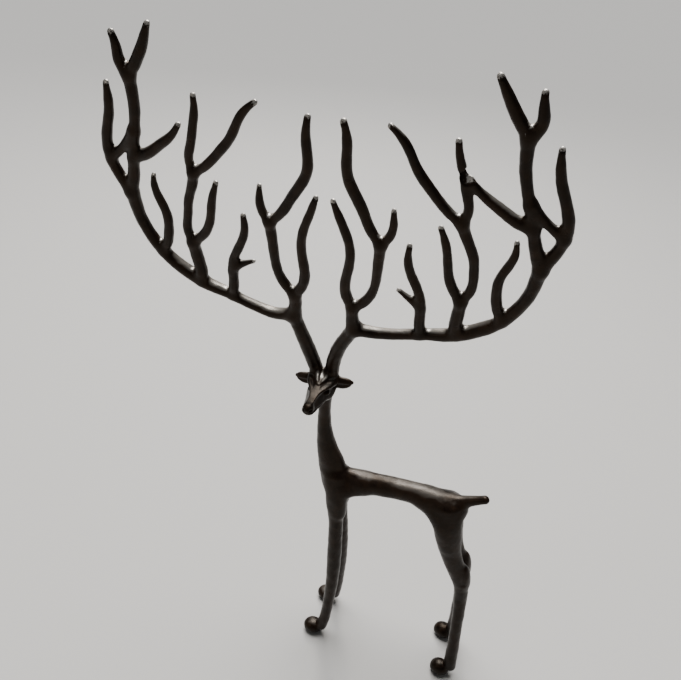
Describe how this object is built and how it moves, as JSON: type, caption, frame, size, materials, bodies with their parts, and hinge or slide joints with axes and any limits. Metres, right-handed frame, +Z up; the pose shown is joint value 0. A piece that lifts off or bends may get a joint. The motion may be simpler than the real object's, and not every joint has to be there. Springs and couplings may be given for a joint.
{
  "type": "stag statue",
  "caption": "Slender cast iron stag standing on four hooves with its head turned to one side and a very wide pair of branching antlers.",
  "frame": {"origin": "on the ground, under the middle of the figure's box", "axes": "+Z up, +X from the chest towards the tail, and -Y the side that the head and the leaning antlers face"},
  "size_m": [0.3312, 0.1108, 0.6364],
  "materials": {
    "dark_bronze_iron": "satin near-black bronze paint over a fine cast surface, rubbed to bare grey metal at the tine tips"
  },
  "bodies": {
    "root": {"stag": "dark_bronze_iron"}
  },
  "joints": []
}
